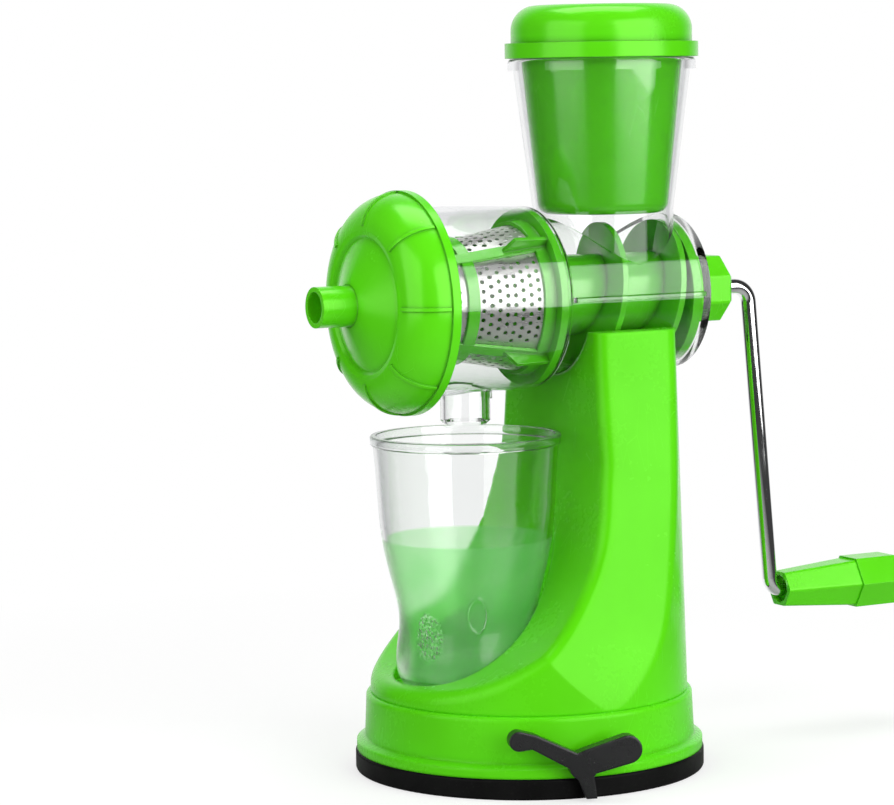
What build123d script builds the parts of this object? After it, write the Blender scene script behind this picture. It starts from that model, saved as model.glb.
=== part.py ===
from build123d import *
import os
from math import cos, degrees, radians, sin, sqrt

os.makedirs("parts", exist_ok=True)

# Manual wheatgrass juicer, in millimetres. The origin is on the floor at the centre of
# the round base, +Z is up and the auger lies along X, with its nozzle towards -X, its
# crank towards +X and the suction lever on the -Y side.

# ---------------------------------------------------------------- driving dimensions
# main axes
auger_axis_height = 207.7
glass_axis_x = -30.4
hopper_axis_x = 41.2

# clearances
seat_gap = 0.2            # between fixed pieces on a round seat
running_gap = 0.05        # radial, shaft in its bearing
moving_gap = 0.4          # between pieces that move past each other
cage_fit = 0.05           # radial, cage on the strainer's cone
lever_gap = 0.7           # lever past the foot ring
cam_arm_gap = 0.6         # cam arm past the lift stem
disc_rim_gap = 0.6        # suction disc inside the foot ring
cage_fin_gap = 1.1        # fins inside the drum

# foot ring and suction disc
foot_radius = 77.2
foot_height = 9.0
foot_width = 15.2
foot_edge = 1.2
disc_rim_height = 0.8
disc_thickness = 2.2
disc_dish = 1.9
disc_hub_radius = 20.0

# base skirt
skirt_height = 25.5
skirt_wall = 3.0
skirt_bottom_radius = 73.0
skirt_top_radius = 72.1
skirt_lip = 3.6
skirt_lip_height = 4.0
skirt_shoulder = 1.8
skirt_tongue = 2.0        # of the skirt in the foot ring's groove
guide_wall = 3.0
guide_length = 9.0
bearing_distance = 16.0
bearing_width = 16.0
bearing_drop = 5.6
bearing_thickness = 4.0

# column
column_wall = 3.2
column_foot_radius = 70.2
column_top_radius = 66.0
column_drop = 14.2        # from the auger axis down to the top of the cheeks
column_front_x = 13.0
column_cheek = 42.0       # half width across the cheeks at the top
column_edge = 6.0
column_corner = 8.0
flare_lean = 0.1          # of the flare at the foot, across for each 1 up
column_flare = [(62.5, 28), (56.0, 58), (49.0, 92), (44.0, 128)]
scoop_front_height = 7.6  # above the top of the skirt, as are the heights below
scoop_length = 120.0
column_scoop = [(-58, 9.4), (-36, 20), (-15, 36), (-1, 55), (8, 77), (12, 98)]
scoop_lean = 0.02         # of the scoop at its front, up for each 1 along
edge_margin = 4.0         # between an edge to be rounded and its neighbours

# cradle and housing screws
cradle_pad_radius = 7.5
cradle_pad_drop = 4.0
housing_screw_spacing = 24.0
housing_screw_x = 38.0
housing_boss_radius = 4.0
housing_screw_grip = 6.0
washer_radius = 6.5
washer_thickness = 1.0

# clear juicer housing
drum_radius = 41.0
drum_rear_radius = 39.8
drum_front_x = -66.0
drum_rear_x = 2.1
drum_wall = 2.5
drum_edge = 2.0
edge_reach = 0.1          # how near to its place an edge is looked for
barrel_radius = 34.5
barrel_wall = 2.2
barrel_rear_x = 75.4
rear_wall = 3.0
spout_radius = 10.9
spout_wall = 2.0
spout_bottom = 154.0
spout_ledge = 0.9
spout_ledge_height = 165.0
spout_edge = 1.5
hopper_neck_radius = 31.2
hopper_neck_height = 245.0
hopper_mouth_radius = 39.1
hopper_height = 311.5
hopper_bead = 2.4
hopper_bead_height = 5.0
hopper_bead_edge = 1.6
hopper_wall = 2.0

# strainer
cage_flange = 3.6
cage_wall = 1.6
cage_bar = 5.0
cage_bar_count = 4
cage_band = 5.0
cage_band_x = -40.7
cage_fin_reach = 16.0
cage_fin_thickness = 1.6
mesh_rear_radius = 32.8
mesh_front_radius = 22.0
mesh_thickness = 0.5
strainer_length = 62.0
mesh_hole = 1.9
mesh_pitch = 4.1

# auger and its bearing
core_radius = 17.8
flight_clearance = 0.7
flight_pitch = 30.0
flight_thickness = 4.2
flight_top_x = 39.6
flight_root = 2.0
tip_core_radius = 13.0
disc_length = 4.4
disc_gap = 0.5
auger_front_x = -58.0
shaft_radius = 5.0
journal_radius = 6.0
shaft_front_x = 20.0
seal_radius = 9.5
seal_length = 1.4
bush_flange = 2.5
bush_flange_length = 1.0

# crank
hub_radius = 15.9
hub_length = 24.0
hub_bevel = 1.8
hub_edge = 2.0
hub_sides = 8
square_size = 7.6
socket_depth = 12.0
hub_pin_radius = 1.5
hub_pin_inset = 1.0
rod_radius = 3.5
rod_bend = 8.0
grip_bend = 6.0
rod_corner_x = 118.1
crank_reach = 141.0
crank_splay = 12.0

# grip
grip_start_x = 135.0
grip_small = 15.5         # across flats
grip_large = 21.0
grip_length = 39.0
grip_edge = 1.6
grip_recess_radius = 6.2
grip_recess_depth = 3.0
grip_pocket_radius = 7.0
grip_pocket_depth = 12.0
rod_tail = 5.0            # of the rod inside the grip's pocket
plug_size = 22.6
plug_length = 31.0
plug_end_size = 17.0
plug_bevel = 9.0
plug_spigot_length = 5.0
retainer_thickness = 1.5

# front cap
cap_flange_radius = 48.5
cap_edge_radius = 47.5
cap_flange_thickness = 3.9
cap_dome_depth = 17.0
cap_crest_radius = 32.0
cap_wall = 2.6
cap_skirt_depth = 7.4     # how far the cap reaches over the drum
cap_groove_radius = 28.6
cap_groove = 1.4          # depth, and width each way
cap_cone_depth = 7.4
cap_cone_radius = 9.5
cap_rib_width = 1.6
cap_rib_height = 0.8
cap_rib_root = 1.0        # how deep the ribs start inside the dome
cap_rib_start = 92        # degrees round the dome's section
cap_rib_arc = 80
cap_rib_count = 8
nozzle_radius = 8.8
nozzle_bore_radius = 6.7
nozzle_length = 16.0
seal_ring_thickness = 2.0
seal_ring_width = 4.0

# pusher
pusher_bottom_radius = 28.5
pusher_top_radius = 35.6
pusher_height = 68.3
pusher_wall = 2.0
pusher_edge = 5.0
pusher_rim_radius = 41.0
pusher_rim = 1.4
lid_band_radius = 42.7
lid_band = 6.6
lid_radius = 40.0
lid_height = 23.1
lid_wall = 2.2
lid_edge = 11.0

# drinking glass
glass_wall = 2.0
glass_floor = 4.0
glass_base_height = 40.2
glass_foot_radius = 29.0
glass_rim_radius = 41.3
glass_height = 109.1
glass_profile = [(31.2, 5), (30.2, 27), (34.0, 48), (37.7, 67), (39.3, 88)]
pocket_gap = 1.8

# suction lever
cam_axis_height = 15.5
cam_throw = 7.0
cam_swing = 30.0          # whole turn of the lever
cam_shaft_radius = 4.0
cam_pin_radius = 2.2
cam_arm_thickness = 3.6
cam_arm_radius = 3.8
stem_radius = 6.0
stem_flange_radius = 9.0
stem_flange = 1.5
slot_gap = 0.25
lever_direction = -109.35  # of the cam shaft's outer end, from +X
lever_thickness = 6.5
lever_hub_radius = 6.2
lever_face = 1.5          # left in front of the cam shaft
lever_paddle_root = (2.0, 1.5)  # across and up from the cam shaft
lever_paddle_root_radius = 5.5
lever_paddle_length = 26.0
lever_paddle_height = 12.0
lever_paddle_angle = 18.0
lever_arm_length = 30.0
lever_arm_angle = 23.0
lever_arm_radius = 3.0
lever_arm_root_radius = 3.8
lever_bend = 0.78         # share of the arm before its bend
lever_knob_radius = 4.2
lever_foot_length = 14.0
lever_foot_roots = (-5.0, 3.7)
lever_foot_lean = 3.2
lever_foot_tip = 4.5
lever_pin_radius = 1.0
lever_pin_inset = 1.0

# screws
base_screw_angles = [30, 110, 250, 330]
base_screw_circle = 62.5
base_screw_radius = 1.6
base_screw_length = 13.0
base_boss_radius = 5.0
base_boss_height = 14.0
screw_head_radius = 3.4
screw_head = 2.4

# ---------------------------------------------------------------- derived places
skirt_top = foot_height + skirt_height
column_top = auger_axis_height - column_drop
foot_inner_radius = foot_radius - foot_width
barrel_inner_radius = barrel_radius - barrel_wall
cradle_radius = barrel_radius + seat_gap
drum_inner_radius = drum_radius - drum_wall
wall_front_x = barrel_rear_x - rear_wall
cage_rear_x = drum_rear_x - drum_wall
auger_rear_x = wall_front_x - disc_gap
flight_radius = barrel_inner_radius - flight_clearance
disc_radius_rear = barrel_inner_radius - moving_gap
hub_start_x = barrel_rear_x + bush_flange_length + moving_gap
hub_end_x = hub_start_x + hub_length
grip_axis_height = auger_axis_height - crank_reach
grip_end_x = grip_start_x + grip_length
cap_flange_x = drum_front_x + cap_skirt_depth
cap_dome_x = cap_flange_x - cap_flange_thickness
cap_crest_x = cap_dome_x - cap_dome_depth
cap_bore_radius = drum_radius + moving_gap
seal_ring_x = drum_front_x - seal_ring_thickness
pusher_rim_height = hopper_height + seat_gap
lid_bottom = pusher_rim_height + seat_gap
hopper_inner_mouth = hopper_mouth_radius - hopper_wall
hopper_inner_neck = hopper_neck_radius - hopper_wall
skirt_wall_radius = skirt_bottom_radius - skirt_wall
cam_rest_angle = -cam_swing / 2
cam_side = cam_throw * cos(radians(cam_rest_angle))
cam_rest_drop = -cam_throw * sin(radians(cam_rest_angle))
cam_lift = 2 * cam_rest_drop
lever_inner = foot_radius + lever_gap

auger_axis = Axis((0, 0, auger_axis_height), (1, 0, 0))
axis_section = Plane(origin=(0, 0, auger_axis_height), x_dir=(1, 0, 0), z_dir=(0, -1, 0))


def upright_section(x):
    """Section through a vertical axis at x: across is the radius, up is Z."""
    return Plane(origin=(x, 0, 0), x_dir=(1, 0, 0), z_dir=(0, -1, 0))


def upright_axis(x):
    return Axis((x, 0, 0), (0, 0, 1))


def auger_plane(x, turn=0):
    """Plane square to the auger at x, turned about it."""
    across = (0, cos(radians(turn)), sin(radians(turn)))
    return Plane(origin=(x, 0, auger_axis_height), x_dir=across, z_dir=(1, 0, 0))


def radial_plane(turn):
    """Plane through the auger axis: across is X, up is the radius at this turn."""
    side = (0, -sin(radians(turn)), cos(radians(turn)))
    return Plane(origin=(0, 0, auger_axis_height), x_dir=(1, 0, 0), z_dir=side)


def outline(*points):
    """Filled straight-sided outline in the open sketch, just where its points lie."""
    Polygon(*points, align=None)


def save(piece, label):
    piece.part.label = label
    export_step(piece.part, f"parts/{label}.step")


# ---------------------------------------------------------------- column
def column_envelope(inset):
    """Column and pedestal as a cone cut by its side flare and by its front scoop."""
    flare = [(r - inset, skirt_top + h) for r, h in column_flare]
    cheek = column_cheek - inset
    foot = column_foot_radius - inset
    scoop = [(x + inset, skirt_top + h - inset) for x, h in column_scoop]
    front = column_front_x + inset
    low = skirt_top + scoop_front_height - inset
    top = column_top - inset
    with BuildPart() as envelope:
        with BuildSketch(Plane.XY.offset(skirt_top)):
            Circle(column_foot_radius - inset)
        with BuildSketch(Plane.XY.offset(top)):
            Circle(column_top_radius - inset)
        loft()
        with BuildSketch(Plane.YZ):
            with BuildLine():
                right = Spline((foot, skirt_top), *flare, (cheek, top),
                               tangents=[(-flare_lean, 1), (0, 1)])
                left = Spline((-foot, skirt_top), *[(-y, z) for y, z in flare], (-cheek, top),
                              tangents=[(flare_lean, 1), (0, 1)])
                Line(right @ 0, left @ 0)
                Line(right @ 1, left @ 1)
            make_face()
        extrude(amount=column_foot_radius, both=True, mode=Mode.INTERSECT)
        with BuildSketch(Plane.XZ):
            with BuildLine():
                edge = Spline((-column_foot_radius, low), *scoop, (front, skirt_top + scoop_length),
                              tangents=[(1, scoop_lean), (0, 1)])
                Polyline(edge @ 1, (front, top), (column_foot_radius, top),
                         (column_foot_radius, skirt_top), (-column_foot_radius, skirt_top), edge @ 0)
            make_face()
        extrude(amount=column_foot_radius, both=True, mode=Mode.INTERSECT)
    return envelope


def glass_seat(gap, floor_gap, top):
    """Space that the glass stands in, wider than it by the gap."""
    lift = glass_base_height
    sides = [(r + gap, lift + h) for r, h in glass_profile]
    rim = glass_rim_radius + gap
    with BuildPart() as seat:
        with BuildSketch(upright_section(glass_axis_x)):
            with BuildLine():
                side = Spline((glass_profile[0][0] + gap, lift - floor_gap), *sides,
                              (rim, lift + glass_height))
                Polyline(side @ 1, (rim, top), (0, top), (0, lift - floor_gap), side @ 0)
            make_face()
        revolve(axis=upright_axis(glass_axis_x))
    return seat


def is_crease(edge):
    """Edge between the scooped front and the flared sides, above the pedestal."""
    middle = edge.center()
    across = column_cheek - edge_margin < abs(middle.Y) < column_foot_radius - edge_margin
    return across and middle.X < column_front_x + edge_margin and middle.Z > skirt_top + edge_margin


def is_rear_corner(edge):
    middle = edge.center()
    return middle.X > column_front_x + edge_margin and abs(middle.Y) > column_cheek + edge_margin / 2


def base_screw_places():
    turns = [radians(angle) for angle in base_screw_angles]
    return [(base_screw_circle * cos(a), base_screw_circle * sin(a)) for a in turns]


housing_screw_places = [(housing_screw_x + side * housing_screw_spacing / 2, 0) for side in (-1, 1)]
cradle_pad_bottom = auger_axis_height - cradle_radius - column_wall - cradle_pad_drop

with BuildPart() as column_core:
    add(column_envelope(column_wall))
    with BuildSketch(auger_plane(0)):
        Circle(cradle_radius + column_wall)
    extrude(amount=column_foot_radius, both=True, mode=Mode.SUBTRACT)
    add(glass_seat(pocket_gap + column_wall, seat_gap + column_wall, auger_axis_height),
        mode=Mode.SUBTRACT)

with BuildPart() as stand_column:
    add(column_envelope(0))
    fillet(stand_column.edges().filter_by(is_crease), radius=column_edge)
    fillet(stand_column.edges().filter_by(is_rear_corner), radius=column_corner)
    add(glass_seat(pocket_gap, seat_gap, auger_axis_height), mode=Mode.SUBTRACT)
    add(column_core, mode=Mode.SUBTRACT)
    with BuildSketch(Plane.XY.offset(skirt_top)):
        with Locations(*base_screw_places()):
            Circle(base_boss_radius)
            Circle(base_screw_radius, mode=Mode.SUBTRACT)
    extrude(amount=base_boss_height)
    with BuildSketch(Plane.XY.offset(cradle_pad_bottom)):
        with Locations(*housing_screw_places):
            Circle(cradle_pad_radius)
    extrude(amount=cradle_pad_drop + column_wall)
    with BuildSketch(auger_plane(0)):
        Circle(cradle_radius)
    extrude(amount=column_foot_radius, both=True, mode=Mode.SUBTRACT)
    with BuildSketch(Plane.XY.offset(cradle_pad_bottom)):
        with Locations(*housing_screw_places):
            Circle(housing_boss_radius + seat_gap)
    extrude(amount=cradle_radius, mode=Mode.SUBTRACT)
save(stand_column, "stand_column")


# ---------------------------------------------------------------- base
def cam_plane(distance):
    """Plane square to the cam shaft, this far out from the middle of the base."""
    out = (cos(radians(lever_direction)), sin(radians(lever_direction)))
    along = (-out[1], out[0])
    spot = (out[0] * distance + along[0] * cam_side, out[1] * distance + along[1] * cam_side)
    return Plane(origin=(*spot, cam_axis_height), x_dir=(*along, 0), z_dir=(*out, 0))


plate_height = skirt_top - skirt_wall

with BuildPart() as base_skirt:
    with BuildSketch(upright_section(0)):
        outline((0, skirt_top), (skirt_top_radius, skirt_top),
                (skirt_bottom_radius, foot_height + skirt_lip_height + skirt_lip / 2),
                (skirt_bottom_radius + skirt_lip, foot_height + skirt_lip_height),
                (skirt_bottom_radius + skirt_lip, foot_height), (skirt_bottom_radius, foot_height),
                (skirt_bottom_radius, foot_height - skirt_tongue),
                (skirt_wall_radius, foot_height - skirt_tongue),
                (skirt_wall_radius, plate_height), (0, plate_height))
    revolve(axis=Axis.Z)
    fillet(base_skirt.edges().group_by(Axis.Z)[-1], radius=skirt_shoulder)
    with BuildSketch(Plane.XY.offset(plate_height)):
        Circle(stem_radius + running_gap + guide_wall)
        Circle(stem_radius + running_gap, mode=Mode.SUBTRACT)
    extrude(amount=-guide_length)
    with BuildSketch(cam_plane(bearing_distance)):
        with Locations((0, (plate_height - cam_axis_height - bearing_drop) / 2)):
            Rectangle(bearing_width, plate_height - cam_axis_height + bearing_drop)
    extrude(amount=bearing_thickness)
    with BuildSketch(cam_plane(skirt_wall_radius - bearing_thickness)):
        Circle(bearing_drop)
    extrude(amount=bearing_thickness + skirt_wall / 2)
    with BuildSketch(cam_plane(0)):
        Circle(cam_shaft_radius + running_gap)
    extrude(amount=foot_radius, mode=Mode.SUBTRACT)
    with BuildSketch(Plane.XY.offset(plate_height)):
        with Locations(*base_screw_places()):
            Circle(base_screw_radius + seat_gap)
    extrude(amount=skirt_wall, mode=Mode.SUBTRACT)
save(base_skirt, "base_skirt")

with BuildPart() as foot_ring:
    with BuildSketch(upright_section(0)):
        outline((foot_inner_radius, 0), (foot_radius, 0), (foot_radius, foot_height),
                (skirt_bottom_radius + seat_gap, foot_height),
                (skirt_bottom_radius + seat_gap, foot_height - skirt_tongue - seat_gap),
                (skirt_wall_radius - seat_gap, foot_height - skirt_tongue - seat_gap),
                (skirt_wall_radius - seat_gap, foot_height), (foot_inner_radius, foot_height))
    revolve(axis=Axis.Z)
    fillet(foot_ring.edges().filter_by(GeomType.CIRCLE).sort_by(SortBy.RADIUS)[-2:], radius=foot_edge)
save(foot_ring, "foot_ring")

disc_radius = foot_inner_radius - disc_rim_gap
disc_top = disc_rim_height + disc_dish + disc_thickness

with BuildPart() as suction_disc:
    with BuildSketch(upright_section(0)):
        outline((0, disc_rim_height + disc_dish), (disc_hub_radius, disc_rim_height + disc_dish),
                (disc_radius, disc_rim_height), (disc_radius, disc_rim_height + disc_thickness),
                (disc_hub_radius, disc_top), (0, disc_top))
    revolve(axis=Axis.Z)
save(suction_disc, "suction_disc")

pin_place = (-cam_side, -cam_rest_drop)
slot_width = 2 * (cam_pin_radius + slot_gap + cam_throw - cam_side)
slot_height = 2 * (cam_pin_radius + slot_gap)

with BuildPart() as lift_stem:
    with BuildSketch(Plane.XY.offset(disc_top)):
        Circle(stem_flange_radius)
    extrude(amount=stem_flange)
    with BuildSketch(Plane.XY.offset(disc_top)):
        Circle(stem_radius)
    extrude(amount=plate_height - disc_top - cam_lift - 2 * moving_gap)
    with BuildSketch(cam_plane(0)):
        with Locations(pin_place):
            Rectangle(slot_width, slot_height)
    extrude(amount=stem_flange_radius, both=True, mode=Mode.SUBTRACT)
save(lift_stem, "lift_stem")

arm_distance = stem_radius + cam_arm_gap

with BuildPart() as cam_shaft:
    with BuildSketch(cam_plane(arm_distance)):
        Circle(cam_shaft_radius)
        with Locations(pin_place):
            Circle(cam_arm_radius)
        make_hull()
    extrude(amount=cam_arm_thickness)
    with BuildSketch(cam_plane(arm_distance)):
        Circle(cam_shaft_radius)
    extrude(amount=lever_inner + lever_thickness - lever_face - arm_distance)
    with BuildSketch(cam_plane(-stem_radius)):
        with Locations(pin_place):
            Circle(cam_pin_radius)
    extrude(amount=stem_radius + arm_distance)
    with BuildSketch(Plane(origin=cam_plane(lever_inner + lever_thickness / 2).origin, z_dir=(0, 0, 1))):
        Circle(lever_pin_radius)
    extrude(amount=lever_hub_radius, both=True, mode=Mode.SUBTRACT)
save(cam_shaft, "cam_shaft")

# the lever's outline, across and up from the cam shaft
paddle_radius = lever_paddle_height / 2
paddle_reach = lever_paddle_length - paddle_radius
paddle_turn = radians(lever_paddle_angle)
paddle_end = (paddle_reach * cos(paddle_turn), paddle_reach * sin(paddle_turn))
arm_turn = radians(180 - lever_arm_angle)
arm_end = (lever_arm_length * cos(arm_turn), lever_arm_length * sin(arm_turn))
arm_bend = (arm_end[0] * lever_bend, arm_end[1] * lever_bend + lever_knob_radius / 2)

with BuildPart() as vacuum_lever:
    with BuildSketch(cam_plane(lever_inner)):
        with BuildSketch(mode=Mode.PRIVATE) as paddle:
            with Locations(lever_paddle_root):
                Circle(lever_paddle_root_radius)
            with Locations(paddle_end):
                Circle(paddle_radius)
            make_hull()
        add(paddle)
        with BuildSketch(mode=Mode.PRIVATE) as slim_arm:
            Circle(lever_arm_root_radius)
            with Locations(arm_bend):
                Circle(lever_arm_radius)
            make_hull()
        add(slim_arm)
        with BuildSketch(mode=Mode.PRIVATE) as knob:
            with Locations(arm_bend):
                Circle(lever_arm_radius)
            with Locations(arm_end):
                Circle(lever_knob_radius)
            make_hull()
        add(knob)
        Circle(lever_hub_radius)
        outline((lever_foot_roots[0], 0), (lever_foot_roots[1], 0),
                (lever_foot_lean + lever_foot_tip / 2, -lever_foot_length),
                (lever_foot_lean - lever_foot_tip / 2, -lever_foot_length))
    extrude(amount=lever_thickness)
    with BuildSketch(cam_plane(lever_inner)):
        Circle(cam_shaft_radius)
    extrude(amount=lever_thickness - lever_face, mode=Mode.SUBTRACT)
    with BuildSketch(Plane(origin=cam_plane(lever_inner + lever_thickness / 2).origin, z_dir=(0, 0, 1))):
        Circle(lever_pin_radius)
    extrude(amount=lever_hub_radius - lever_pin_inset, both=True, mode=Mode.SUBTRACT)
save(vacuum_lever, "vacuum_lever")

with BuildPart() as lever_pin:
    with BuildSketch(Plane(origin=cam_plane(lever_inner + lever_thickness / 2).origin, z_dir=(0, 0, 1))):
        Circle(lever_pin_radius)
    extrude(amount=lever_hub_radius - lever_pin_inset, both=True)
save(lever_pin, "lever_pin")

with BuildPart() as base_screws:
    with BuildSketch(Plane.XY.offset(plate_height)):
        with Locations(*base_screw_places()):
            Circle(screw_head_radius)
    extrude(amount=-screw_head)
    with BuildSketch(Plane.XY.offset(plate_height)):
        with Locations(*base_screw_places()):
            Circle(base_screw_radius)
    extrude(amount=base_screw_length)
save(base_screws, "base_screws")

# ---------------------------------------------------------------- clear housing
housing_boss_bottom = cradle_pad_bottom + seat_gap
housing_boss_top = auger_axis_height - barrel_radius + barrel_wall / 2
hopper_bead_radius = hopper_mouth_radius + hopper_bead
hopper_bead_base = hopper_height - hopper_bead_height

with BuildPart() as juicer_housing:
    with BuildSketch(axis_section):
        outline((drum_front_x, 0), (drum_front_x, drum_radius), (drum_rear_x - drum_radius, drum_radius),
                (drum_rear_x, drum_rear_radius), (drum_rear_x, barrel_radius), (barrel_rear_x, barrel_radius),
                (barrel_rear_x, 0))
    revolve(axis=auger_axis)
    rear_rings = juicer_housing.edges().filter_by(GeomType.CIRCLE).filter_by_position(
        Axis.X, drum_rear_x - edge_reach, drum_rear_x + edge_reach)
    fillet(rear_rings.sort_by(SortBy.RADIUS)[-1], radius=drum_edge)
    with BuildSketch(upright_section(hopper_axis_x)):
        outline((0, auger_axis_height), (hopper_neck_radius, auger_axis_height),
                (hopper_neck_radius, hopper_neck_height), (hopper_mouth_radius, hopper_bead_base),
                (hopper_bead_radius, hopper_bead_base), (hopper_bead_radius, hopper_height),
                (0, hopper_height))
    revolve(axis=upright_axis(hopper_axis_x))
    fillet(juicer_housing.edges().filter_by(GeomType.CIRCLE).group_by(Axis.Z)[-1], radius=hopper_bead_edge)
    with BuildSketch(upright_section(glass_axis_x)):
        outline((0, spout_bottom), (spout_radius - spout_edge, spout_bottom),
                (spout_radius, spout_bottom + spout_edge), (spout_radius, spout_ledge_height),
                (spout_radius + spout_ledge, spout_ledge_height),
                (spout_radius + spout_ledge, auger_axis_height - drum_inner_radius + drum_wall),
                (0, auger_axis_height - drum_inner_radius + drum_wall))
    revolve(axis=upright_axis(glass_axis_x))
    with BuildSketch(Plane.XY.offset(housing_boss_bottom)):
        with Locations(*housing_screw_places):
            Circle(housing_boss_radius)
    extrude(amount=housing_boss_top - housing_boss_bottom)
    with BuildSketch(axis_section):
        outline((drum_front_x, 0), (drum_front_x, drum_inner_radius), (cage_rear_x, drum_inner_radius),
                (cage_rear_x, barrel_inner_radius), (wall_front_x, barrel_inner_radius), (wall_front_x, 0))
    revolve(axis=auger_axis, mode=Mode.SUBTRACT)
    with BuildSketch(upright_section(hopper_axis_x)):
        outline((0, auger_axis_height), (hopper_inner_neck, auger_axis_height),
                (hopper_inner_neck, hopper_neck_height), (hopper_inner_mouth, hopper_bead_base),
                (hopper_inner_mouth, hopper_height), (0, hopper_height))
    revolve(axis=upright_axis(hopper_axis_x), mode=Mode.SUBTRACT)
    with BuildSketch(Plane.XY.offset(spout_bottom)):
        with Locations((glass_axis_x, 0)):
            Circle(spout_radius - spout_wall)
    extrude(amount=auger_axis_height - spout_bottom, mode=Mode.SUBTRACT)
    with BuildSketch(auger_plane(wall_front_x)):
        Circle(seal_radius)
    extrude(amount=rear_wall, mode=Mode.SUBTRACT)
    with BuildSketch(Plane.XY.offset(housing_boss_bottom)):
        with Locations(*housing_screw_places):
            Circle(base_screw_radius)
    extrude(amount=housing_screw_grip, mode=Mode.SUBTRACT)
save(juicer_housing, "juicer_housing")

with BuildPart() as housing_screws:
    with BuildSketch(Plane.XY.offset(cradle_pad_bottom)):
        with Locations(*housing_screw_places):
            Circle(washer_radius)
    extrude(amount=-washer_thickness)
    with BuildSketch(Plane.XY.offset(cradle_pad_bottom - washer_thickness)):
        with Locations(*housing_screw_places):
            Circle(screw_head_radius)
    extrude(amount=-screw_head)
    with BuildSketch(Plane.XY.offset(cradle_pad_bottom)):
        with Locations(*housing_screw_places):
            Circle(base_screw_radius)
    extrude(amount=seat_gap + housing_screw_grip)
save(housing_screws, "housing_screws")


# ---------------------------------------------------------------- strainer
def mesh_radius(x):
    """Outer radius of the strainer's cone at x."""
    share = (cage_rear_x - x) / strainer_length
    return mesh_rear_radius + (mesh_front_radius - mesh_rear_radius) * share


def cage_hoop(front, rear, inner_gap, height):
    """Hoop on the cone between two places."""
    outline((front, mesh_radius(front) + inner_gap), (rear, mesh_radius(rear) + inner_gap),
            (rear, mesh_radius(rear) + inner_gap + height),
            (front, mesh_radius(front) + inner_gap + height))


strainer_front_x = cage_rear_x - strainer_length
flange_front_x = cage_rear_x - cage_flange
cage_root_x = flange_front_x + cage_flange / 4
bar_step = 360 / cage_bar_count
bar_angles = [bar_step * (i + 0.5) for i in range(cage_bar_count)]
fin_radius = drum_inner_radius - cage_fin_gap

with BuildPart() as strainer_cage:
    with BuildSketch(axis_section):
        outline((flange_front_x, mesh_radius(flange_front_x) + cage_fit),
                (cage_rear_x, mesh_radius(cage_rear_x) + cage_fit),
                (cage_rear_x, drum_inner_radius - seat_gap), (flange_front_x, drum_inner_radius - seat_gap))
        cage_hoop(flange_front_x - cage_band, flange_front_x, cage_fit, cage_wall)
        cage_hoop(cage_band_x - cage_band / 2, cage_band_x + cage_band / 2, cage_fit, cage_wall)
        cage_hoop(strainer_front_x, strainer_front_x + cage_band, cage_fit, cage_wall)
    revolve(axis=auger_axis)
    for turn in bar_angles:
        with BuildSketch(radial_plane(turn)):
            cage_hoop(strainer_front_x, cage_root_x, cage_fit, cage_wall)
        extrude(amount=cage_bar / 2, both=True)
        fin_front = flange_front_x - cage_fin_reach
        with BuildSketch(radial_plane(turn)):
            outline((cage_root_x, mesh_radius(flange_front_x) + cage_wall / 2),
                    (cage_root_x, fin_radius), (fin_front, fin_radius),
                    (fin_front - cage_fin_reach / 4, mesh_radius(fin_front) + cage_wall / 2))
        extrude(amount=cage_fin_thickness / 2, both=True)
save(strainer_cage, "strainer_cage")


def mesh_hole_places():
    """Staggered rows of holes, in the cage's windows only."""
    places = []
    row = 0
    x = flange_front_x - cage_band - mesh_hole
    while x > strainer_front_x + cage_band + mesh_hole:
        radius = mesh_radius(x)
        clear = abs(x - cage_band_x) > cage_band / 2 + mesh_hole / 2
        half = degrees((cage_bar / 2 + mesh_hole) / radius)
        count = int((bar_step - 2 * half) / degrees(mesh_pitch / radius))
        for bar in bar_angles:
            for i in range(count if clear else 0):
                shift = (i + 0.5 * (row % 2) - (count - 0.5) / 2) * degrees(mesh_pitch / radius)
                turn = bar + bar_step / 2 + shift
                places.append((x, radius, turn))
        x -= mesh_pitch * sqrt(3) / 2
        row += 1
    return places


with BuildPart() as strainer_mesh:
    with BuildSketch(axis_section):
        outline((strainer_front_x, mesh_radius(strainer_front_x) - mesh_thickness),
                (cage_rear_x, mesh_radius(cage_rear_x) - mesh_thickness),
                (cage_rear_x, mesh_radius(cage_rear_x)), (strainer_front_x, mesh_radius(strainer_front_x)))
    revolve(axis=auger_axis)
    drills = []
    for x, radius, turn in mesh_hole_places():
        out = (0, cos(radians(turn)), sin(radians(turn)))
        spot = (x, out[1] * radius, auger_axis_height + out[2] * radius)
        drills.append(Plane(origin=spot, z_dir=out))
    with Locations(*drills):
        Cylinder(mesh_hole / 2, 4 * mesh_thickness, mode=Mode.SUBTRACT)
save(strainer_mesh, "strainer_mesh")

# ---------------------------------------------------------------- auger and bearing
def flight_reach(x):
    """Radius that the flight keeps inside the strainer from x onwards."""
    return mesh_radius(x - flight_thickness) - mesh_thickness - flight_clearance


# turns of the flight from the front: first place, whole turns, core radius and reach
barrel_flight_x = flight_top_x - flight_pitch
flight_stages = [(barrel_flight_x - 2 * flight_pitch, 1, tip_core_radius),
                 (barrel_flight_x - flight_pitch, 1, core_radius), (barrel_flight_x, 2, core_radius)]

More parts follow.
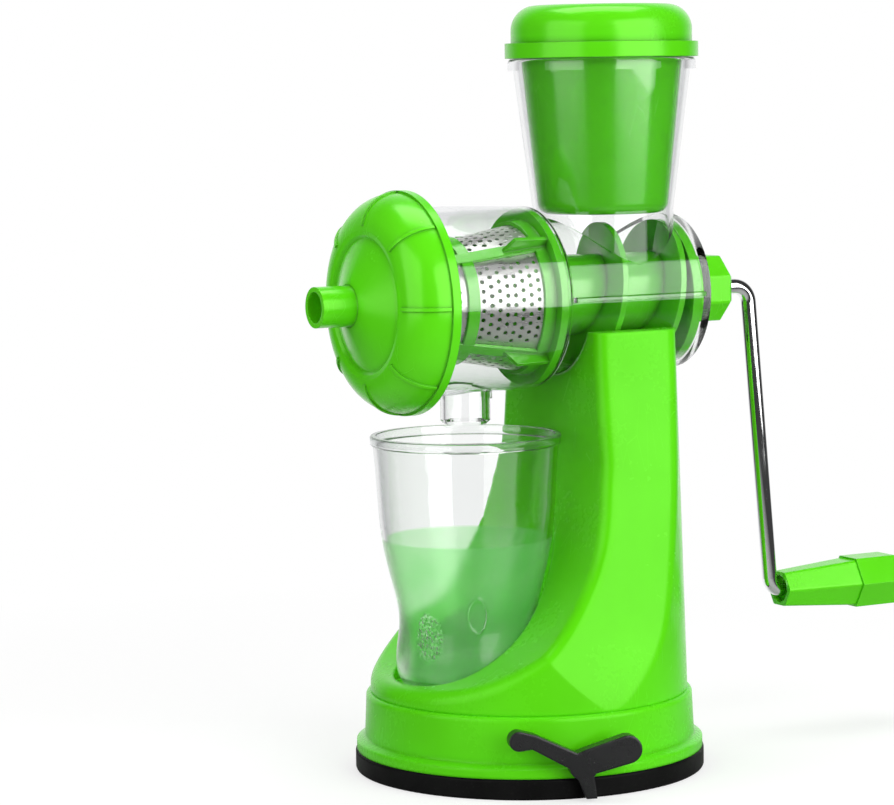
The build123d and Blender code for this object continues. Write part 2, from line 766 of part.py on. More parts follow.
with BuildPart() as auger:
    with BuildSketch(axis_section):
        outline((auger_front_x, 0), (auger_front_x, tip_core_radius),
                (barrel_flight_x - flight_pitch, tip_core_radius),
                (barrel_flight_x - flight_pitch + flight_thickness, core_radius),
                (auger_rear_x - disc_length, core_radius), (auger_rear_x - disc_length, disc_radius_rear),
                (auger_rear_x, disc_radius_rear), (auger_rear_x, 0))
    revolve(axis=auger_axis)
    for stage_x, turn_count, inner in flight_stages:
        reach = min(flight_radius, flight_reach(stage_x))
        with BuildLine():
            turns = Helix(flight_pitch, turn_count * flight_pitch, inner,
                          center=(stage_x, 0, auger_axis_height), direction=(1, 0, 0), lefthand=True)
        with BuildSketch(Plane(origin=turns @ 0, x_dir=(0, 0, 1), z_dir=turns % 0)):
            outline((-flight_root, -flight_thickness / 2), (reach - inner, -flight_thickness / 3),
                    (reach - inner, flight_thickness / 3), (-flight_root, flight_thickness / 2))
        sweep(is_frenet=True)
    with BuildSketch(auger_plane(shaft_front_x)):
        Circle(shaft_radius)
    extrude(amount=auger_rear_x - shaft_front_x, mode=Mode.SUBTRACT)
save(auger, "auger")

with BuildPart() as auger_shaft:
    with BuildSketch(auger_plane(shaft_front_x)):
        Circle(shaft_radius)
    extrude(amount=auger_rear_x - shaft_front_x)
    with BuildSketch(auger_plane(auger_rear_x)):
        Circle(journal_radius)
    extrude(amount=hub_start_x - auger_rear_x)
    with BuildSketch(auger_plane(hub_start_x)):
        Rectangle(square_size, square_size)
    extrude(amount=socket_depth - seat_gap)
    with BuildSketch(Plane.XY.offset(auger_axis_height)):
        with Locations((hub_start_x + socket_depth / 2, 0)):
            Circle(hub_pin_radius)
    extrude(amount=hub_radius, both=True, mode=Mode.SUBTRACT)
save(auger_shaft, "auger_shaft")

with BuildPart() as shaft_seal:
    with BuildSketch(auger_plane(wall_front_x)):
        Circle(seal_radius)
        Circle(journal_radius + running_gap, mode=Mode.SUBTRACT)
    extrude(amount=seal_length)
save(shaft_seal, "shaft_seal")

with BuildPart() as rear_bush:
    with BuildSketch(auger_plane(wall_front_x + seal_length)):
        Circle(seal_radius)
    extrude(amount=rear_wall - seal_length)
    with BuildSketch(auger_plane(barrel_rear_x)):
        Circle(seal_radius + bush_flange)
    extrude(amount=bush_flange_length)
    with BuildSketch(auger_plane(wall_front_x)):
        Circle(journal_radius + running_gap)
    extrude(amount=2 * rear_wall, mode=Mode.SUBTRACT)
save(rear_bush, "rear_bush")

# ---------------------------------------------------------------- crank
hub_pin_places = [(hub_start_x + socket_depth / 2, 0), (hub_end_x - socket_depth / 2, 0)]
hub_turn = 180 / hub_sides
hub_pin_length = hub_radius * cos(radians(hub_turn)) - hub_pin_inset
rod_end_x = grip_end_x - grip_pocket_depth + rod_tail

with BuildPart() as crank_hub:
    with BuildSketch(auger_plane(hub_start_x)):
        RegularPolygon(hub_radius, hub_sides, rotation=hub_turn)
    extrude(amount=hub_length)
    fillet(crank_hub.edges().filter_by(Axis.X), radius=hub_edge)
    chamfer(crank_hub.faces().sort_by(Axis.X)[-1].edges(), length=hub_bevel)
    with BuildSketch(auger_plane(hub_start_x)):
        Rectangle(square_size, square_size)
    extrude(amount=socket_depth, mode=Mode.SUBTRACT)
    with BuildSketch(auger_plane(hub_start_x + socket_depth)):
        Circle(rod_radius)
    extrude(amount=hub_length - socket_depth, mode=Mode.SUBTRACT)
    with BuildSketch(Plane.XY.offset(auger_axis_height)):
        with Locations(*hub_pin_places):
            Circle(hub_pin_radius)
    extrude(amount=hub_pin_length, both=True, mode=Mode.SUBTRACT)
save(crank_hub, "crank_hub")

with BuildPart() as hub_pins:
    with BuildSketch(Plane.XY.offset(auger_axis_height)):
        with Locations(*hub_pin_places):
            Circle(hub_pin_radius)
    extrude(amount=hub_pin_length, both=True)
save(hub_pins, "hub_pins")

with BuildPart() as crank_rod:
    with BuildLine(Plane.XZ):
        FilletPolyline((hub_start_x + socket_depth, auger_axis_height), (rod_corner_x, auger_axis_height),
                       (rod_corner_x + crank_splay, grip_axis_height), (rod_end_x, grip_axis_height),
                       radius=[rod_bend, grip_bend])
    with BuildSketch(auger_plane(hub_start_x + socket_depth)):
        Circle(rod_radius)
    sweep()
    with BuildSketch(Plane.XY.offset(auger_axis_height)):
        with Locations(hub_pin_places[1]):
            Circle(hub_pin_radius)
    extrude(amount=hub_radius, both=True, mode=Mode.SUBTRACT)
save(crank_rod, "crank_rod")


# ---------------------------------------------------------------- grip
def grip_plane(x):
    """Plane square to the grip at x."""
    return Plane(origin=(x, 0, grip_axis_height), x_dir=(0, 1, 0), z_dir=(1, 0, 0))


with BuildPart() as crank_grip:
    with BuildSketch(grip_plane(grip_start_x)):
        RegularPolygon(grip_small / 2, 6, major_radius=False)
    with BuildSketch(grip_plane(grip_end_x)):
        RegularPolygon(grip_large / 2, 6, major_radius=False)
    loft()
    long_edges = crank_grip.edges().filter_by(lambda edge: edge.length > grip_length / 2)
    fillet(long_edges, radius=grip_edge)
    with BuildSketch(grip_plane(grip_start_x)):
        Circle(rod_radius + running_gap)
    extrude(amount=grip_length, mode=Mode.SUBTRACT)
    with BuildSketch(grip_plane(grip_start_x)):
        Circle(grip_recess_radius)
    extrude(amount=grip_recess_depth, mode=Mode.SUBTRACT)
    with BuildSketch(grip_plane(grip_end_x)):
        Circle(grip_pocket_radius)
    extrude(amount=-grip_pocket_depth, mode=Mode.SUBTRACT)
save(crank_grip, "crank_grip")

with BuildPart() as grip_plug:
    with BuildSketch(grip_plane(grip_end_x)):
        RegularPolygon(plug_size / 2, 6, major_radius=False)
    extrude(amount=plug_length - plug_bevel)
    with BuildSketch(grip_plane(grip_end_x + plug_length - plug_bevel)):
        RegularPolygon(plug_size / 2, 6, major_radius=False)
    with BuildSketch(grip_plane(grip_end_x + plug_length)):
        RegularPolygon(plug_end_size / 2, 6, major_radius=False)
    loft()
    with BuildSketch(grip_plane(grip_end_x)):
        Circle(grip_pocket_radius)
    extrude(amount=-plug_spigot_length)
save(grip_plug, "grip_plug")

with BuildPart() as rod_retainer:
    with BuildSketch(grip_plane(grip_end_x - grip_pocket_depth + moving_gap)):
        Circle(grip_pocket_radius - moving_gap)
        Circle(rod_radius, mode=Mode.SUBTRACT)
    extrude(amount=retainer_thickness)
save(rod_retainer, "rod_retainer")

# ---------------------------------------------------------------- front cap
cone_tip_x = cap_crest_x - cap_cone_depth
nozzle_end_x = cone_tip_x - nozzle_length
dome_rise = cap_edge_radius - cap_crest_radius

with BuildPart() as front_cap:
    with BuildSketch(axis_section):
        with BuildLine():
            dome = EllipticalCenterArc((cap_dome_x, cap_crest_radius), cap_dome_depth, dome_rise,
                                       start_angle=90, arc_size=90)
            Polyline(dome @ 0, (cap_dome_x, cap_flange_radius), (cap_flange_x, cap_flange_radius),
                     (cap_flange_x, cap_bore_radius), (seal_ring_x, cap_bore_radius),
                     (seal_ring_x, drum_inner_radius - seal_ring_width / 2),
                     (cap_dome_x - cap_dome_depth / 2, cap_crest_radius + cap_wall),
                     (cap_crest_x + cap_wall, cap_groove_radius), (cone_tip_x + cap_wall, nozzle_bore_radius),
                     (nozzle_end_x, nozzle_bore_radius), (nozzle_end_x, nozzle_radius),
                     (cone_tip_x, nozzle_radius), (cone_tip_x, cap_cone_radius),
                     (cap_crest_x + cap_groove / 2, cap_groove_radius - cap_groove),
                     (cap_crest_x + cap_groove, cap_groove_radius),
                     (cap_crest_x + cap_groove / 4, cap_groove_radius + cap_groove), dome @ 1)
        make_face()
    revolve(axis=auger_axis)
    for step in range(cap_rib_count):
        with BuildSketch(radial_plane(step * 360 / cap_rib_count)):
            with BuildLine():
                low = EllipticalCenterArc((cap_dome_x, cap_crest_radius), cap_dome_depth - cap_rib_root,
                                          dome_rise - cap_rib_root, start_angle=cap_rib_start,
                                          arc_size=cap_rib_arc)
                high = EllipticalCenterArc((cap_dome_x, cap_crest_radius), cap_dome_depth + cap_rib_height,
                                           dome_rise + cap_rib_height, start_angle=cap_rib_start,
                                           arc_size=cap_rib_arc)
                Line(low @ 0, high @ 0)
                Line(low @ 1, high @ 1)
            make_face()
        extrude(amount=cap_rib_width / 2, both=True)
save(front_cap, "front_cap")

with BuildPart() as front_seal:
    with BuildSketch(auger_plane(seal_ring_x)):
        Circle(drum_inner_radius + seal_ring_width / 2)
        Circle(drum_inner_radius - seal_ring_width / 2, mode=Mode.SUBTRACT)
    extrude(amount=seal_ring_thickness)
save(front_seal, "front_seal")

# ---------------------------------------------------------------- pusher
pusher_bottom = pusher_rim_height - pusher_height
pusher_rim_top = pusher_rim_height + pusher_rim

with BuildPart() as pusher_cup:
    with BuildSketch(upright_section(hopper_axis_x)):
        outline((0, pusher_bottom), (pusher_bottom_radius, pusher_bottom),
                (pusher_top_radius, pusher_rim_height), (pusher_rim_radius, pusher_rim_height),
                (pusher_rim_radius, pusher_rim_top), (0, pusher_rim_top))
    revolve(axis=upright_axis(hopper_axis_x))
    fillet(pusher_cup.edges().group_by(Axis.Z)[0], radius=pusher_edge)
    with BuildSketch(upright_section(hopper_axis_x)):
        outline((0, pusher_bottom + pusher_wall),
                (pusher_bottom_radius - pusher_wall, pusher_bottom + pusher_wall),
                (pusher_top_radius - pusher_wall, pusher_rim_top), (0, pusher_rim_top))
    revolve(axis=upright_axis(hopper_axis_x), mode=Mode.SUBTRACT)
save(pusher_cup, "pusher_cup")

with BuildPart() as pusher_cap:
    with BuildSketch(upright_section(hopper_axis_x)):
        outline((0, lid_bottom), (lid_band_radius, lid_bottom), (lid_band_radius, lid_bottom + lid_band),
                (lid_radius, lid_bottom + lid_band), (lid_radius, lid_bottom + lid_height),
                (0, lid_bottom + lid_height))
    revolve(axis=upright_axis(hopper_axis_x))
    fillet(pusher_cap.edges().group_by(Axis.Z)[-1], radius=lid_edge)
    with BuildSketch(upright_section(hopper_axis_x)):
        outline((0, lid_bottom), (pusher_rim_radius + seat_gap, lid_bottom),
                (pusher_rim_radius + seat_gap, pusher_rim_top), (lid_radius - lid_wall, pusher_rim_top),
                (lid_radius - lid_wall, lid_bottom + lid_height - lid_edge),
                (lid_radius - lid_edge, lid_bottom + lid_height - lid_wall),
                (0, lid_bottom + lid_height - lid_wall))
    revolve(axis=upright_axis(hopper_axis_x), mode=Mode.SUBTRACT)
save(pusher_cap, "pusher_cap")

# ---------------------------------------------------------------- drinking glass
with BuildPart() as drinking_glass:
    with BuildSketch(upright_section(glass_axis_x)):
        with BuildLine():
            outer = Spline((glass_foot_radius, glass_base_height),
                           *[(r, glass_base_height + h) for r, h in glass_profile],
                           (glass_rim_radius, glass_base_height + glass_height))
            inner = Spline((glass_foot_radius - glass_wall, glass_base_height + glass_floor),
                           *[(r - glass_wall, glass_base_height + h) for r, h in glass_profile[1:]],
                           (glass_rim_radius - glass_wall, glass_base_height + glass_height))
            Line(outer @ 1, inner @ 1)
            Polyline(inner @ 0, (0, glass_base_height + glass_floor), (0, glass_base_height), outer @ 0)
        make_face()
    revolve(axis=upright_axis(glass_axis_x))
save(drinking_glass, "drinking_glass")
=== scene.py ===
from math import cos, pi, radians, sin, sqrt

import bmesh
import bpy
from mathutils import Matrix, Vector


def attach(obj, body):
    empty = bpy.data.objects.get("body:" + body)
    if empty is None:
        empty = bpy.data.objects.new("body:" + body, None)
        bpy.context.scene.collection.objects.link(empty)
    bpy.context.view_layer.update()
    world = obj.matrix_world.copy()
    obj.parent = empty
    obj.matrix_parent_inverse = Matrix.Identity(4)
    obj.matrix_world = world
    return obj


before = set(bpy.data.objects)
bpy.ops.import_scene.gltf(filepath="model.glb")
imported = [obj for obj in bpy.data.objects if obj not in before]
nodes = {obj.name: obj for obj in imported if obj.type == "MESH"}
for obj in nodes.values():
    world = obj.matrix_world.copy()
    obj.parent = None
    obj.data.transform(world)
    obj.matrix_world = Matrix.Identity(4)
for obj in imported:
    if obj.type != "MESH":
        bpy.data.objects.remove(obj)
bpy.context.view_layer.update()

# Manual wheatgrass juicer. Metres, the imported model's frame: the origin is on the floor
# at the centre of the round base, +Z is up and the auger lies along X.

AUGER_HEIGHT = 0.2077
BARREL_RADIUS = 0.0345
GLASS_X = -0.0304
FROST_TOP = 0.1046
RELIEF_RADIUS = 0.0335          # of the glass, where its moulded relief is

VIEW_TURN = radians(-29.09)     # from -Y to the camera, about +Z
BACKDROP = (-sin(VIEW_TURN), cos(VIEW_TURN), 0.0)   # level, away from the camera
LAMPS_AIM = Vector((-0.02, 0, 0.17))

# ---------------------------------------------------------------- node helpers


def put(tree, kind, inputs=(), **settings):
    """Adds a shader node. Inputs are constants or another node's sockets."""
    made = tree.nodes.new("ShaderNode" + kind)
    for key, value in settings.items():
        setattr(made, key, value)
    for key, value in dict(inputs).items():
        if isinstance(value, bpy.types.NodeSocket):
            tree.links.new(value, made.inputs[key])
        else:
            made.inputs[key].default_value = value
    return made


def new_material(name):
    material = bpy.data.materials.new(name)
    material.use_nodes = True
    material.node_tree.nodes.clear()
    return material, material.node_tree


def place(tree, stretch=(1, 1, 1)):
    """Position on the piece, in metres, stretched for brushed or drawn surfaces."""
    spot = put(tree, "TexCoord").outputs["Object"]
    if stretch == (1, 1, 1):
        return spot
    return put(tree, "Mapping", {"Vector": spot, "Scale": stretch}).outputs["Vector"]


def noise(tree, scale, low, high, start=0.3, end=0.7, detail=3, stretch=(1, 1, 1)):
    """Noise that runs from low to high. Its scale is in cells a metre."""
    texture = put(tree, "TexNoise", {"Vector": place(tree, stretch), "Scale": scale, "Detail": detail})
    return ranged(tree, texture.outputs["Fac"], start, end, low, high)


def ranged(tree, value, start, end, low, high):
    spread = put(tree, "MapRange", {"Value": value, "From Min": start, "From Max": end,
                                    "To Min": low, "To Max": high})
    return spread.outputs["Result"]


def maths(tree, operation, first, second=0.0):
    return put(tree, "Math", {0: first, 1: second}, operation=operation).outputs[0]


def between(tree, share, first, second):
    """Number from first, at share 0, to second, at share 1."""
    return put(tree, "Mix", {0: share, 2: first, 3: second}).outputs[0]


def blended(tree, share, first, second):
    """Colour from first, at share 0, to second, at share 1."""
    mixer = put(tree, "Mix", {0: share, 6: first, 7: second}, data_type="RGBA")
    return mixer.outputs[2]


def rgb(red, green, blue):
    return (red, green, blue, 1.0)


def edge_share(tree, radius):
    """1 on the outer few tenths of a millimetre of an edge and 0 on flat ground."""
    rounded = put(tree, "Bevel", {"Radius": radius}, samples=6).outputs[0]
    flat = put(tree, "NewGeometry").outputs["Normal"]
    cosine = put(tree, "VectorMath", {0: rounded, 1: flat}, operation="DOT_PRODUCT").outputs["Value"]
    return ranged(tree, maths(tree, "SUBTRACT", 1.0, cosine), 0.01, 0.12, 0.0, 1.0)


def bumps(tree, layers, bevel=0.0):
    """Normal from bump layers of (height, strength, distance), over softened edges."""
    normal = put(tree, "Bevel", {"Radius": bevel}, samples=12).outputs[0] if bevel else None
    for height, strength, distance in layers:
        inputs = {"Height": height, "Strength": strength, "Distance": distance}
        if normal is not None:
            inputs["Normal"] = normal
        normal = put(tree, "Bump", inputs).outputs[0]
    return normal


def along_wall(tree, power):
    """0 where a wall is seen square on, rising to 1 at its outline."""
    facing = put(tree, "LayerWeight", {"Blend": 0.5}).outputs["Facing"]
    return maths(tree, "POWER", facing, power)


def scratches(tree, scale, width, stretch):
    """Fine hairlines: 1 on a line and 0 elsewhere."""
    lines = put(tree, "TexVoronoi", {"Vector": place(tree, stretch), "Scale": scale},
                feature="DISTANCE_TO_EDGE").outputs["Distance"]
    mask = noise(tree, 34, 0.0, 1.0, 0.52, 0.66)
    return maths(tree, "MULTIPLY", ranged(tree, lines, 0.0, width, 1.0, 0.0), mask)


# ---------------------------------------------------------------- materials


def moulded_plastic(name, colour, roughness, index=1.45, bevel=0.0005, sheen=(1, 1, 1)):
    """Glossy moulded plastic with flow marks, painted shade darkening its creases, handling haze, hairlines
    and scuffed edges.
    """
    material, tree = new_material(name)
    painted_crease_shade = rgb(*[c * 0.32 for c in colour])
    deep = rgb(*[c * 0.88 for c in colour])
    pale = rgb(*[min(1.0, c * 1.05 + 0.006) for c in colour])
    worn = rgb(*[min(1.0, c * 0.9 + 0.09) for c in colour])
    # Painted shade: ambient occlusion darkens the colour to a third in creases and recesses.
    unoccluded_share = put(tree, "AmbientOcclusion", {"Distance": 0.0035}, samples=4, only_local=True).outputs["AO"]
    tone = blended(tree, noise(tree, 14, 0.0, 1.0, detail=4), deep, pale)
    tone = blended(tree, ranged(tree, unoccluded_share, 0.35, 0.90, 0.0, 1.0), painted_crease_shade, tone)
    wear = maths(tree, "MULTIPLY", edge_share(tree, 0.0006), noise(tree, 120, 0.0, 0.5, 0.42, 0.66))
    lines = scratches(tree, 160, 0.012, (1.0, 1.0, 0.16))
    haze = maths(tree, "ADD", noise(tree, 30, -0.03, 0.07), noise(tree, 420, -0.015, 0.03))
    rough = maths(tree, "ADD", maths(tree, "ADD", haze, roughness), maths(tree, "MULTIPLY", lines, 0.16))
    bump = bumps(tree, [(noise(tree, 36, 0.0, 1.0, detail=1), 0.10, 0.00012),
                        (noise(tree, 1500, 0.0, 1.0, detail=2), 0.12, 0.00002),
                        (lines, -0.12, 0.00002)], bevel)
    shader = put(tree, "BsdfPrincipled", {
        "Base Color": blended(tree, wear, tone, worn), "Roughness": rough, "Normal": bump,
        "IOR": index, "Specular Tint": rgb(*sheen)})
    put(tree, "OutputMaterial", {"Surface": shader.outputs[0]})
    return material


def see_through(tree, shader, shade):
    """Lets lamp light through a clear surface, dimmed to this share."""
    lamps = put(tree, "BsdfTransparent", {"Color": rgb(shade, shade, shade)}).outputs[0]
    shadow = put(tree, "LightPath").outputs["Is Shadow Ray"]
    mixed = put(tree, "MixShader", {0: shadow, 1: shader, 2: lamps}).outputs[0]
    put(tree, "OutputMaterial", {"Surface": mixed})


def clear_wall(name, face, outline_shade, index, roughness):
    """Clear moulding: bright through its face, with painted shade making it greyer where the sight line runs
    along the wall.
    """
    material, tree = new_material(name)
    # Painted shade: the colour greys towards the outline, where the sight line grazes the wall.
    tint_and_outline_shade = blended(tree, along_wall(tree, 3.2), rgb(*face), rgb(*outline_shade))
    lines = scratches(tree, 190, 0.010, (0.3, 1.0, 1.0))
    haze = maths(tree, "ADD", noise(tree, 38, 0.0, 0.035, 0.45, 0.75), roughness)
    rough = maths(tree, "ADD", haze, maths(tree, "MULTIPLY", lines, 0.10))
    bump = bumps(tree, [(noise(tree, 55, 0.0, 1.0, detail=1), 0.10, 0.00010), (lines, -0.08, 0.00002)])
    shader = put(tree, "BsdfPrincipled", {
        "Base Color": tint_and_outline_shade, "Roughness": rough, "Normal": bump, "IOR": index, "Transmission Weight": 1.0})
    see_through(tree, shader.outputs[0], 0.86)
    return material


def frosted_tumbler():
    """Clear glass above a line and milky, fine-grained glass below it, with an oval of berries and a ring.
    The milky part is tinted green, painted light from the green stand seen through it, and the outline has
    painted shade.
    """
    material, tree = new_material("drinking_glass")
    split = put(tree, "SeparateXYZ", {0: place(tree)}).outputs
    height = split["Z"]
    turn = maths(tree, "ARCTAN2", split["Y"], maths(tree, "SUBTRACT", split["X"], GLASS_X))
    milky = ranged(tree, height, FROST_TOP, FROST_TOP - 0.0012, 0.0, 1.0)

    def oval(middle_turn, middle_height, half_width, half_height):
        """Distance from the middle of an oval on the wall, 1 on its rim."""
        half_turn = half_width / RELIEF_RADIUS
        across = maths(tree, "DIVIDE", maths(tree, "SUBTRACT", turn, radians(middle_turn)), half_turn)
        up = maths(tree, "DIVIDE", maths(tree, "SUBTRACT", height, middle_height), half_height)
        squares = maths(tree, "ADD", maths(tree, "MULTIPLY", across, across), maths(tree, "MULTIPLY", up, up))
        return maths(tree, "SQRT", squares)

    cells = put(tree, "TexVoronoi", {"Vector": place(tree), "Scale": 620}).outputs["Distance"]
    berries = maths(tree, "MULTIPLY", ranged(tree, cells, 0.0, 0.7, 1.0, 0.0),
                    ranged(tree, oval(-154, 0.064, 0.0080, 0.0115), 0.85, 1.0, 1.0, 0.0))
    off_ring = maths(tree, "ABSOLUTE", maths(tree, "SUBTRACT", oval(-112, 0.0735, 0.0045, 0.0075), 1.0))
    relief = maths(tree, "ADD", berries, ranged(tree, off_ring, 0.04, 0.22, 1.0, 0.0))
    # Painted shade: the clear glass greys towards its outline, where the sight line grazes the wall.
    clear = blended(tree, along_wall(tree, 2.6), rgb(0.985, 0.995, 0.99), rgb(0.26, 0.28, 0.30))
    # Painted light: the milky glass is tinted green for the light of the green stand behind it.
    frost_with_painted_green = blended(tree, noise(tree, 60, 0.0, 1.0), rgb(0.58, 0.92, 0.56), rgb(0.72, 0.96, 0.70))
    grain = maths(tree, "ADD", noise(tree, 2200, -0.03, 0.03, detail=2), noise(tree, 45, 0.12, 0.15))
    rough = maths(tree, "ADD", maths(tree, "MULTIPLY", grain, milky), noise(tree, 30, 0.004, 0.03, 0.45, 0.8))
    etched = maths(tree, "MULTIPLY", noise(tree, 2600, 0.0, 1.0, detail=2), milky)
    bump = bumps(tree, [(noise(tree, 40, 0.0, 1.0, detail=1), 0.12, 0.0002), (etched, 0.35, 0.00003),
                        (relief, 0.9, 0.0005)])
    shader = put(tree, "BsdfPrincipled", {
        "Base Color": blended(tree, milky, clear, frost_with_painted_green), "Roughness": rough, "Normal": bump, "IOR": 1.45,
        "Transmission Weight": maths(tree, "SUBTRACT", 1.0, maths(tree, "MULTIPLY", milky, 0.05))})
    see_through(tree, shader.outputs[0], 0.93)
    return material


def metal(name, colour, roughness, stretch=(1, 1, 1)):
    """Polished or brushed metal with grain drawn out one way and dull handling marks."""
    material, tree = new_material(name)
    tone = blended(tree, noise(tree, 90, 0.0, 1.0), rgb(*[c * 0.93 for c in colour]), rgb(*colour))
    brush = noise(tree, 700, 0.0, 1.0, detail=4, stretch=stretch)
    dulled = maths(tree, "ADD", noise(tree, 70, 0.0, 0.07, 0.5, 0.8), roughness)
    rough = maths(tree, "ADD", dulled, maths(tree, "MULTIPLY", brush, roughness * 0.5))
    shader = put(tree, "BsdfPrincipled", {
        "Base Color": tone, "Metallic": 1.0, "Roughness": rough,
        "Normal": bumps(tree, [(brush, 0.25, 0.00001)], 0.0002)})
    put(tree, "OutputMaterial", {"Surface": shader.outputs[0]})
    return material


def rubber(name, colour, roughness):
    """Matt rubber with a fine skin, paler rubbed patches and settled dust."""
    material, tree = new_material(name)
    dark, pale = rgb(*colour), rgb(*[c * 1.8 + 0.004 for c in colour])
    rubbed = maths(tree, "MULTIPLY", edge_share(tree, 0.0008), noise(tree, 160, 0.1, 0.8))
    tone = blended(tree, noise(tree, 55, 0.0, 0.6, detail=5), dark, pale)
    dust = noise(tree, 700, 0.0, 0.04, 0.60, 0.75, detail=5)
    colours = blended(tree, dust, blended(tree, rubbed, tone, pale), rgb(0.16, 0.16, 0.15))
    shader = put(tree, "BsdfPrincipled", {
        "Base Color": colours, "Roughness": noise(tree, 60, roughness - 0.06, roughness + 0.08), "IOR": 1.16,
        "Normal": bumps(tree, [(noise(tree, 1900, 0.0, 1.0, detail=3), 0.35, 0.00005),
                               (noise(tree, 90, 0.0, 1.0, detail=2), 0.20, 0.0001)], 0.0006)})
    put(tree, "OutputMaterial", {"Surface": shader.outputs[0]})
    return material


LIME, LIME_SHEEN = (0.105, 0.720, 0.003), (0.48, 1.0, 0.24)
green = moulded_plastic("green_plastic", LIME, 0.20, 1.75, sheen=LIME_SHEEN)
green_stand = moulded_plastic("green_plastic_stand", LIME, 0.22, 1.5, 0.002, LIME_SHEEN)
# Painted shade: a darker copy of the green for the pusher cup, strainer cage and auger, standing for the
# light the clear walls hold back from them.
green_inner_shaded = moulded_plastic("green_plastic_inner_shaded", (0.080, 0.54, 0.006), 0.17, 1.9, sheen=(0.8, 1.0, 0.7))
clear = clear_wall("clear_plastic", (0.985, 0.99, 0.99), (0.46, 0.48, 0.52), 1.40, 0.015)
tumbler_glass = frosted_tumbler()
chrome = metal("chrome", (0.90, 0.91, 0.92), 0.035, (1, 1, 0.05))
steel = metal("steel", (0.60, 0.61, 0.63), 0.24)
sieve = metal("stainless_mesh", (0.60, 0.60, 0.58), 0.24, (0.06, 1, 1))
lever_black = moulded_plastic("black_plastic", (0.004, 0.004, 0.005), 0.26, 1.48, 0.0014)
ring_black = rubber("black_rubber", (0.003, 0.003, 0.003), 0.42)
seal_grey = rubber("seal_rubber", (0.28, 0.28, 0.29), 0.55)
nylon = moulded_plastic("white_nylon", (0.78, 0.77, 0.72), 0.42)

finishes = {
    green: ["crank_hub", "crank_grip", "grip_plug", "front_cap", "pusher_cap"],
    green_stand: ["stand_column", "base_skirt"],
    green_inner_shaded: ["pusher_cup", "strainer_cage", "auger"],
    clear: ["juicer_housing"],
    tumbler_glass: ["drinking_glass"],
    chrome: ["crank_rod"],
    steel: ["hub_pins", "auger_shaft", "cam_shaft", "lever_pin", "base_screws", "housing_screws",
            "rod_retainer"],
    sieve: ["strainer_mesh"],
    lever_black: ["vacuum_lever", "lift_stem"],
    ring_black: ["foot_ring", "suction_disc"],
    seal_grey: ["front_seal", "shaft_seal"],
    nylon: ["rear_bush"],
}
for material, names in finishes.items():
    for name in names:
        nodes[name].data.materials.clear()
        nodes[name].data.materials.append(material)

# ---------------------------------------------------------------- pieces that only show


def finished(name, form, material, body):
    """Makes a smooth object of a bmesh, with its material and slot, on its body."""
    bmesh.ops.recalc_face_normals(form, faces=form.faces)
    mesh = bpy.data.meshes.new(name)
    form.to_mesh(mesh)
    form.free()
    mesh.polygons.foreach_set("use_smooth", [True] * len(mesh.polygons))
    mesh.materials.append(material)
    piece = bpy.data.objects.new(name, mesh)
    bpy.context.scene.collection.objects.link(piece)
    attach(piece, body)


def lofted(rows, closed):
    """Surface through rows of points. Each row is a closed loop, and closed joins the last to the first."""
    form = bmesh.new()
    loops = [[form.verts.new(point) for point in row] for row in rows]
    pairs = list(zip(loops, loops[1:] + loops[:1])) if closed else list(zip(loops, loops[1:]))
    for low, high in pairs:
        for i, corner in enumerate(low):
            after = (i + 1) % len(low)
            form.faces.new((corner, low[after], high[after], high[i]))
    if not closed:
        form.faces.new(loops[0])
        form.faces.new(loops[-1])
    return form


def barrel_seam(side):
    """Raised parting strip along one side of the barrel, rounded off at its ends."""
    start, length, half_width, proud, sunk, steps = 0.0046, 0.0683, 0.0011, 0.0004, 0.0002, 24
    shape = [k / 8 - 1 for k in range(17)]
    rows = []
    for step in range(steps + 1):
        share = step / steps
        height = proud * min(1.0, 30 * share, 30 * (1 - share)) ** 0.5
        top = [(t * half_width, height * (1 - t ** 4)) for t in shape]
        low = [(t * half_width, -sunk) for t in reversed(shape)]
        x = start + share * length
        rows.append([(x, side * (sqrt(BARREL_RADIUS ** 2 - z * z) + out), AUGER_HEIGHT + z)
                     for z, out in top + low])
    name = "barrel_seam_near" if side < 0 else "barrel_seam_far"
    finished(name, lofted(rows, False), clear, "stand")


def tumbler_lip():
    """Thickened band round the mouth of the glass."""
    section = [(0.0404, 0.1448), (0.0412, 0.1450), (0.0416, 0.1456), (0.0418, 0.1476), (0.0418, 0.1486),
               (0.0415, 0.1491), (0.0410, 0.1492), (0.0409, 0.1484), (0.0406, 0.1466)]
    turns = [2 * pi * i / 128 for i in range(128)]
    rows = [[(GLASS_X + r * cos(a), r * sin(a), z) for r, z in section] for a in turns]
    finished("tumbler_lip", lofted(rows, True), tumbler_glass, "glass")


barrel_seam(-1)
barrel_seam(1)
tumbler_lip()

# ---------------------------------------------------------------- stage


def sharp_rays(tree, path):
    """1 for rays mirrored by the object or passed through it."""
    return maths(tree, "MAXIMUM", path["Is Glossy Ray"], path["Is Transmission Ray"])


def backdrop_share(tree, direction, elsewhere):
    """White towards the backdrop and nearly dark elsewhere, so that mirrored sides stay green."""
    cosine = put(tree, "VectorMath", {0: direction, 1: BACKDROP}, operation="DOT_PRODUCT").outputs["Value"]
    return ranged(tree, cosine, 0.55, 0.90, elsewhere, 1.0)


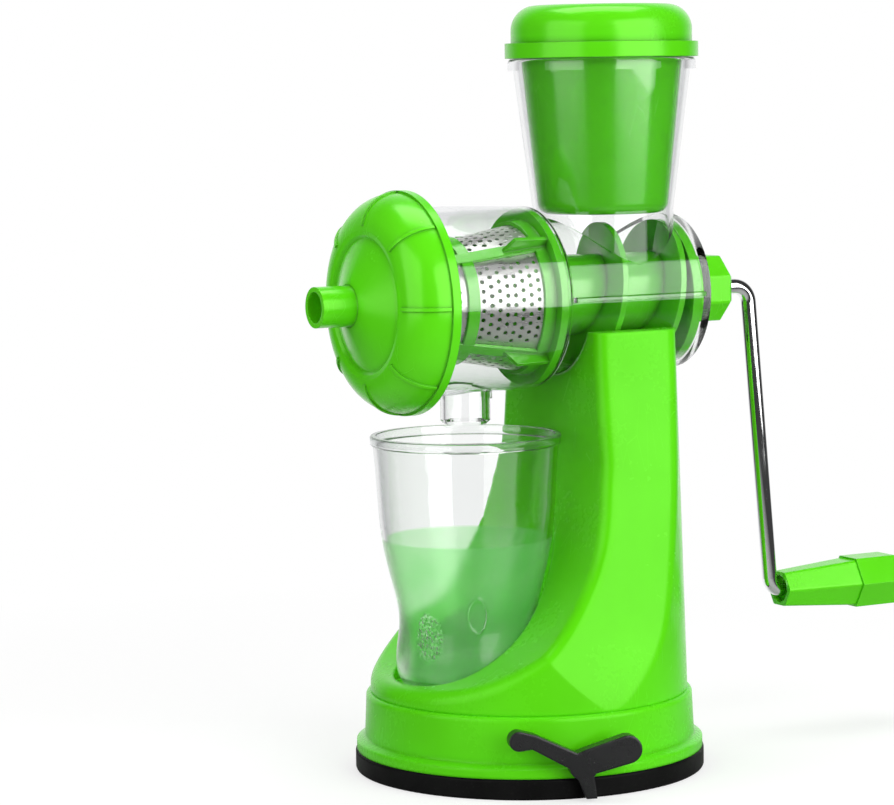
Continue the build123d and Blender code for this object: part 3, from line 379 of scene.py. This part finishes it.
def pale_floor():
    """White floor that keeps the object's shadow near it."""
    bpy.ops.mesh.primitive_plane_add(size=8)
    floor = bpy.context.object
    floor.name = "floor"
    material, tree = new_material("studio_floor")
    path = put(tree, "LightPath").outputs
    spot = put(tree, "NewGeometry").outputs["Position"]
    bearing = put(tree, "VectorMath", {0: spot}, operation="NORMALIZE").outputs["Vector"]
    mirrored = maths(tree, "MULTIPLY", sharp_rays(tree, path), backdrop_share(tree, bearing, 0.05))
    seen = maths(tree, "MAXIMUM", path["Is Camera Ray"], mirrored)
    away = put(tree, "VectorMath", {0: spot}, operation="LENGTH")
    far = ranged(tree, away.outputs["Value"], 0.20, 0.55, 0.0, 1.0)
    near = put(tree, "AddShader", {
        0: put(tree, "BsdfDiffuse", {"Color": rgb(0.42, 0.42, 0.42)}).outputs[0],
        1: put(tree, "Emission", {"Strength": maths(tree, "MULTIPLY", seen, 0.62)}).outputs[0]})
    dull = maths(tree, "MULTIPLY", path["Is Diffuse Ray"], 0.45)
    plain = put(tree, "Emission", {"Strength": maths(tree, "MAXIMUM", seen, dull)})
    mixed = put(tree, "MixShader", {0: far, 1: near.outputs[0], 2: plain.outputs[0]})
    put(tree, "OutputMaterial", {"Surface": mixed.outputs[0]})
    floor.data.materials.append(material)


def studio_world():
    """Dim light all round, which the camera sees as white."""
    world = bpy.data.worlds.new("studio")
    bpy.context.scene.world = world
    world.use_nodes = True
    tree = world.node_tree
    tree.nodes.clear()
    path = put(tree, "LightPath").outputs
    mirrored = backdrop_share(tree, put(tree, "TexCoord").outputs["Generated"], 0.04)
    around = between(tree, sharp_rays(tree, path), 0.28, mirrored)
    strength = between(tree, path["Is Camera Ray"], around, 1.0)
    sky = put(tree, "Background", {"Color": rgb(1, 1, 1), "Strength": strength})
    put(tree, "OutputWorld", {"Surface": sky.outputs[0]})


def softbox(name, turn, height, away, width, tall, radiance):
    """Soft lamp facing the object, this many degrees round from the camera."""
    lamp = bpy.data.lights.new(name, "AREA")
    lamp.shape = "RECTANGLE"
    lamp.size, lamp.size_y = width, tall
    lamp.energy = 4 * width * tall * radiance
    holder = bpy.data.objects.new(name, lamp)
    bpy.context.scene.collection.objects.link(holder)
    a = VIEW_TURN + radians(turn)
    offset = Vector((sin(a) * away, -cos(a) * away, height))
    holder.location = LAMPS_AIM + offset
    holder.rotation_euler = offset.to_track_quat("Z", "Y").to_euler()
    holder.visible_camera = False


pale_floor()
studio_world()
softbox("softbox_left", -50, 0.25, 1.25, 1.22, 1.5, 1.45)
softbox("softbox_right", 47, 0.25, 1.25, 1.38, 1.5, 2.6)
softbox("softbox_top", 180, 1.25, 0.25, 1.1, 0.7, 2.7)


def look():
    """Camera that matches the photograph."""
    tilt, roll = radians(5.54), radians(-0.85)
    target, distance = Vector((-0.0394, 0, 0.1636)), 1.426
    back = Vector((sin(VIEW_TURN) * cos(tilt), -cos(VIEW_TURN) * cos(tilt), sin(tilt)))
    right = (-back).cross(Vector((0, 0, 1))).normalized()
    up = right.cross(-back)
    across = right * cos(roll) + up * sin(roll)
    upright = up * cos(roll) - right * sin(roll)
    data = bpy.data.cameras.new("camera")
    data.lens, data.sensor_width = 132.27, 36.0
    data.clip_start, data.clip_end = 0.05, 50
    holder = bpy.data.objects.new("camera", data)
    bpy.context.scene.collection.objects.link(holder)
    turned = Matrix((across, upright, back)).transposed().to_4x4()
    holder.matrix_world = Matrix.Translation(target + back * distance) @ turned
    bpy.context.scene.camera = holder


look()
bpy.context.scene.view_settings.view_transform = "Standard"
# Sight lines along the clear walls pass many surfaces, and end black with fewer bounces.
bpy.context.scene.cycles.max_bounces = 32
bpy.context.scene.cycles.transmission_bounces = 32
bpy.context.scene.cycles.glossy_bounces = 24
